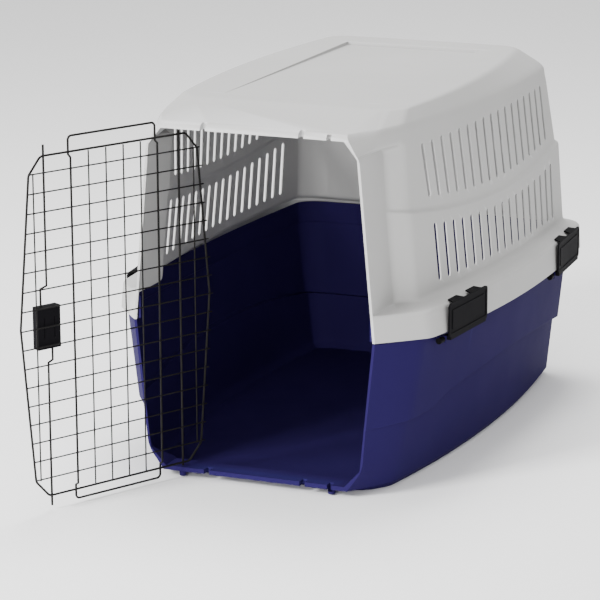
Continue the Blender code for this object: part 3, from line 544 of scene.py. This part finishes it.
def make_clip(name, side, centre_y, point, angle, look):
    """Barrel below, a bordered plate with a finger pad, and two hooks that narrow to their tips."""
    drop = SKIRT_FOOT.height(centre_y) - point.z
    top = SKIRT_TOP.height(centre_y) - point.z + LATCH_TOP_RISE
    inner = PIVOT_INSET + LATCH_STANDOFF
    outer = inner + LATCH_PLATE
    half = LATCH_LENGTH / 2 - LUG_THICKNESS - 0.0005
    foot = drop - 0.006

    def slab(bm, u0, u1, y0, y1, z0, z1):
        return add_box(bm, (min(u0 * side, u1 * side), y0, z0), (max(u0 * side, u1 * side), y1, z1))

    def plate(bm):
        low, high = sorted((inner * side, outer * side))
        add_prism(bm, rounded_outline(LATCH_LENGTH / 2, foot, top, PLATE_CORNER), low, high, "x")

    def arm(bm):
        slab(bm, -0.001, outer - 0.0005, -half, half, foot - 0.0055, foot + 0.0010)

    def barrel(bm):
        add_cylinder(bm, (0, 0, 0), BARREL_RADIUS, half * 2, 24, LENGTHWAYS)
        add_cylinder(bm, (0, 0, 0), PIN_RADIUS, LATCH_LENGTH + KNOB_LENGTH, 16, LENGTHWAYS)
        for end in (1, -1):
            middle = end * (LATCH_LENGTH / 2 + 0.0005 + KNOB_LENGTH / 2)
            add_cylinder(bm, (0, middle, 0), BARREL_RADIUS, KNOB_LENGTH, 24, LENGTHWAYS)

    def hooks(bm):
        for end in (1, -1):
            y0, y1 = end * HOOK_GAP / 2, end * (HOOK_GAP / 2 + HOOK_LENGTH)
            made = slab(bm, inner - HOOK_REACH, outer - 0.0005, min(y0, y1), max(y0, y1),
                        top - 0.0028, top - 0.0002)
            for vert in made:                       # the tongue narrows towards its tip
                if abs(vert.co.x) < inner:
                    vert.co.y = lerp(vert.co.y, end * (HOOK_GAP + HOOK_LENGTH) / 2, 0.22)
                    vert.co.z += HOOK_RISE

    def field(bm):
        """A sunk field that leaves a raised border and, inside it, a raised finger pad."""
        border, pad = 0.0055, 0.0125
        y0, y1, z0, z1 = -LATCH_LENGTH / 2 + border, LATCH_LENGTH / 2 - border, foot + border, top - border
        y2, y3, z2, z3 = -LATCH_LENGTH / 2 + pad, LATCH_LENGTH / 2 - pad, foot + pad, top - pad
        sides = ((y0, y2, z0, z1), (y3, y1, z0, z1), (y2, y3, z0, z2), (y2, y3, z3, z1))
        for low_y, high_y, low_z, high_z in sides:
            slab(bm, outer - 0.0011, outer + 0.01, low_y, high_y, low_z, high_z)
        bmesh.ops.remove_doubles(bm, verts=bm.verts, dist=0.00001)
        centres = {f: f.calc_center_median() for f in bm.faces}
        shared = [f for f in bm.faces
                  if any(f is not g and (centres[f] - centres[g]).length < 0.00001 for g in bm.faces)]
        bmesh.ops.delete(bm, geom=shared, context='FACES_ONLY')

    clip = add_object("clip_" + name, mesh_from(name, plate), look)
    carve(clip, arm, 'UNION')
    carve(clip, barrel, 'UNION', self_crossing=True)
    carve(clip, hooks, 'UNION')
    carve(clip, field, self_crossing=True)
    round_edges(clip, CLIP_EDGE, 40)
    clip.data.transform(Matrix.Translation(point) @ Matrix.Rotation(angle, 4, 'Z'))
    move_to_frame(clip)
    return clip


def make_spring_half(source, middle_z, side, look):
    """The half of the latch spring above (side 1) or below (side -1) its middle."""
    bm = bmesh.new()
    bm.from_mesh(source.data)
    bmesh.ops.remove_doubles(bm, verts=bm.verts, dist=0.000001)
    bmesh.ops.bisect_plane(bm, geom=bm.verts[:] + bm.edges[:] + bm.faces[:], plane_co=(0, 0, middle_z),
                           plane_no=(0, 0, side), clear_inner=True)
    bmesh.ops.remove_doubles(bm, verts=bm.verts, dist=0.000001)
    bmesh.ops.edgeloop_fill(bm, edges=[e for e in bm.edges if e.is_boundary])
    bmesh.ops.recalc_face_normals(bm, faces=bm.faces)
    mesh = bpy.data.meshes.new("spring_half")
    bm.to_mesh(mesh)
    bm.free()
    mesh.materials.clear()
    return add_object("spring_upper" if side > 0 else "spring_lower", mesh, look)


# ---------------------------------------------------------------- materials
class Look:
    """A node material built around one Principled shader."""

    def __init__(self, name):
        self.material = bpy.data.materials.new(name)
        self.material.use_nodes = True
        self.tree = self.material.node_tree
        self.shader = self.tree.nodes["Principled BSDF"]
        self.place = self.node("ShaderNodeTexCoord").outputs["Object"]

    def node(self, kind, **values):
        made = self.tree.nodes.new(kind)
        for key, value in values.items():
            if hasattr(made, key):
                setattr(made, key, value)
            else:
                made.inputs[key.replace("_", " ")].default_value = value
        return made

    def link(self, source, target):
        self.tree.links.new(source, target)

    def noise(self, scale, detail=4.0, roughness=0.55):
        made = self.node("ShaderNodeTexNoise")
        made.inputs["Scale"].default_value = scale
        made.inputs["Detail"].default_value = detail
        made.inputs["Roughness"].default_value = roughness
        self.link(self.place, made.inputs["Vector"])
        return made.outputs["Fac"]

    def remap(self, source, low, high, start=0.3, end=0.7):
        made = self.node("ShaderNodeMapRange")
        for key, value in (("From Min", start), ("From Max", end), ("To Min", low), ("To Max", high)):
            made.inputs[key].default_value = value
        self.link(source, made.inputs["Value"])
        return made.outputs["Result"]

    def mix(self, factor, a, b):
        made = self.node("ShaderNodeMix")
        made.data_type = 'RGBA'
        self.link(factor, made.inputs[0])
        for index, value in ((6, a), (7, b)):
            if isinstance(value, tuple):
                made.inputs[index].default_value = (*value, 1.0)
            else:
                self.link(value, made.inputs[index])
        return made.outputs[2]

    def edges(self, low=0.52, high=0.60):
        """About 1 on the convex edges, where handling rubs and lightens the surface."""
        geometry = self.node("ShaderNodeNewGeometry")
        return self.remap(geometry.outputs["Pointiness"], 0.0, 1.0, low, high)

    def bump(self, height, strength, distance, normal=None):
        made = self.node("ShaderNodeBump")
        made.inputs["Strength"].default_value = strength
        made.inputs["Distance"].default_value = distance
        self.link(height, made.inputs["Height"])
        if normal:
            self.link(normal, made.inputs["Normal"])
        return made.outputs["Normal"]


def moulded_plastic(name, colour, darker, worn, roughness, grain, rubbed=(0.55, 0.68), specular=0.4):
    """Injection-moulded plastic: eroded grain, faint flow shading, rubbed edges and dusty patches."""
    look = Look(name)
    flow = look.remap(look.noise(3.2, 3.0), 0.0, 1.0)
    body = look.mix(flow, colour, darker)
    speck = look.remap(look.noise(900.0, 2.0), 0.0, 0.30, 0.62, 0.78)
    body = look.mix(speck, body, worn)
    rub = look.edges(*rubbed)
    body = look.mix(rub, body, worn)
    look.link(body, look.shader.inputs["Base Color"])
    patches = look.remap(look.noise(14.0, 5.0), roughness - 0.02, roughness + 0.03)
    look.link(patches, look.shader.inputs["Roughness"])
    cells = look.node("ShaderNodeTexVoronoi")
    cells.inputs["Scale"].default_value = grain
    look.link(look.place, cells.inputs["Vector"])
    fine = look.bump(cells.outputs["Distance"], 0.22, 0.0002)
    wavy = look.bump(look.noise(22.0, 2.0), 0.05, 0.0010, fine)
    look.link(wavy, look.shader.inputs["Normal"])
    look.shader.inputs["Specular IOR Level"].default_value = specular
    return look.material


def coated_wire(name):
    """Black electro-coated steel wire, slightly orange-peeled, with a little bare metal on its high spots."""
    look = Look(name)
    body = look.mix(look.remap(look.noise(60.0), 0.0, 1.0),
                    (0.0035, 0.0032, 0.0032), (0.0080, 0.0072, 0.0068))
    worn = look.remap(look.noise(240.0, 5.0), 0.0, 0.35, 0.70, 0.82)
    look.link(look.mix(worn, body, (0.045, 0.040, 0.036)), look.shader.inputs["Base Color"])
    look.link(look.remap(look.noise(90.0), 0.42, 0.58), look.shader.inputs["Roughness"])
    look.link(look.bump(look.noise(700.0, 2.0), 0.25, 0.0001), look.shader.inputs["Normal"])
    look.shader.inputs["Specular IOR Level"].default_value = 0.12
    return look.material


def spring_wire(name):
    look = Look(name)
    body = look.mix(look.remap(look.noise(300.0), 0.0, 1.0), (0.50, 0.50, 0.51), (0.66, 0.65, 0.63))
    look.link(body, look.shader.inputs["Base Color"])
    look.link(look.remap(look.noise(500.0), 0.24, 0.38), look.shader.inputs["Roughness"])
    look.shader.inputs["Metallic"].default_value = 1.0
    return look.material


def floor_look():
    look = Look("studio_paper")
    body = look.mix(look.remap(look.noise(1.5, 2.0), 0.0, 1.0), (0.955, 0.955, 0.955), (0.965, 0.965, 0.965))
    look.link(body, look.shader.inputs["Base Color"])
    look.shader.inputs["Roughness"].default_value = 0.8
    return look.material


# ---------------------------------------------------------------- stage
CAMERA_PLACE = (1.9666, -4.9938, 1.6137)
CAMERA_YAW, CAMERA_PITCH, CAMERA_ROLL = 22.55, -14.49, -0.25
CAMERA_LENS = 176.36


def make_camera():
    data = bpy.data.cameras.new("camera")
    data.lens = CAMERA_LENS
    data.sensor_width = 36.0
    camera = bpy.data.objects.new("camera", data)
    bpy.context.scene.collection.objects.link(camera)
    turn = (Matrix.Rotation(math.radians(CAMERA_YAW), 4, 'Z')
            @ Matrix.Rotation(math.radians(90 + CAMERA_PITCH), 4, 'X')
            @ Matrix.Rotation(math.radians(CAMERA_ROLL), 4, 'Z'))
    camera.matrix_world = Matrix.Translation(CAMERA_PLACE) @ turn
    bpy.context.scene.camera = camera


def make_light(name, place, aim, size, power):
    data = bpy.data.lights.new(name, 'AREA')
    data.shape = 'RECTANGLE'
    data.size, data.size_y = size
    data.energy = power
    light = bpy.data.objects.new(name, data)
    bpy.context.scene.collection.objects.link(light)
    light.location = place
    light.rotation_euler = (Vector(aim) - Vector(place)).to_track_quat('-Z', 'Y').to_euler()


def make_stage():
    def ground(bm):
        bmesh.ops.create_grid(bm, x_segments=2, y_segments=2, size=14.0)
    floor = add_object("floor", mesh_from("floor", ground), floor_look())
    floor.location.z = -0.0005
    world = bpy.data.worlds.new("studio")
    world.use_nodes = True
    world.node_tree.nodes["Background"].inputs["Color"].default_value = (1.0, 1.0, 1.0, 1.0)
    world.node_tree.nodes["Background"].inputs["Strength"].default_value = 1.05
    bpy.context.scene.world = world
    make_light("key", (-2.3, -4.2, 2.6), (0.0, -0.3, 0.25), (1.2, 1.2), 420)
    make_light("top", (-0.3, 0.9, 3.6), (0.0, 0.0, 0.4), (1.6, 1.6), 130)
    make_light("cabin_fill", (0.5, -4.4, 1.0), (0.0, 0.2, 0.40), (1.0, 0.8), 110)


# ---------------------------------------------------------------- assembly
def main():
    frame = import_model()

    grey = moulded_plastic("grey_shell_plastic", (0.415, 0.412, 0.407), (0.385, 0.382, 0.376),
                           (0.490, 0.490, 0.490), 0.55, 1500.0, specular=0.30)
    blue = moulded_plastic("blue_shell_plastic", (0.0175, 0.0115, 0.064), (0.0150, 0.0098, 0.055),
                           (0.020, 0.017, 0.088), 0.52, 1500.0, specular=0.01)
    black = moulded_plastic("black_clip_plastic", (0.0060, 0.0056, 0.0068), (0.0045, 0.0043, 0.0052),
                            (0.014, 0.014, 0.015), 0.55, 1900.0, rubbed=(0.62, 0.85), specular=0.02)
    wire, spring = coated_wire("black_coated_wire"), spring_wire("bare_spring_wire")
    by_slot = {"shell_grey": grey, "shell_blue": blue, "latch_black": black, "wire": wire,
               "spring_steel": spring}

    slots = {entry["node"]: entry["material_slot"] for entry in frame["record"]["subparts"]}
    for node, obj in frame["nodes"].items():
        obj.data.materials.clear()
        obj.data.materials.append(by_slot[slots[node]])
        if node in ("latch_back_plate", "latch_case", "upper_grip", "lower_grip"):
            bevel = obj.modifiers.new("rounding", 'BEVEL')
            bevel.width, bevel.segments = 0.0008, 3
            bevel.angle_limit = math.radians(40)

    pieces = [(make_top_shell(grey), "top_shell", "shells", "shell_grey"),
              (make_bottom_shell(blue), "bottom_shell", "shells", "shell_blue")]
    for name, side, centre_y, point, angle in clips():
        pieces.append((make_clip(name, side, centre_y, point, angle, black), name, name, "latch_black"))
    for piece, node, body, slot in pieces:
        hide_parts(node)
        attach(piece, body)

    # the spring is split at its middle into the halves that the bolts press towards the middle; both halves
    # are attached to the door
    low, high = (Vector(corner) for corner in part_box("latch_spring"))
    middle = (low + high) / 2
    for side, joint in ((1, "upper_bolt_slide"), (-1, "lower_bolt_slide")):
        half = make_spring_half(frame["nodes"]["latch_spring"], middle.z, side, spring)
        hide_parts("latch_spring")
        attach(half, "door")
        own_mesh(half)

    make_camera()
    make_stage()


main()
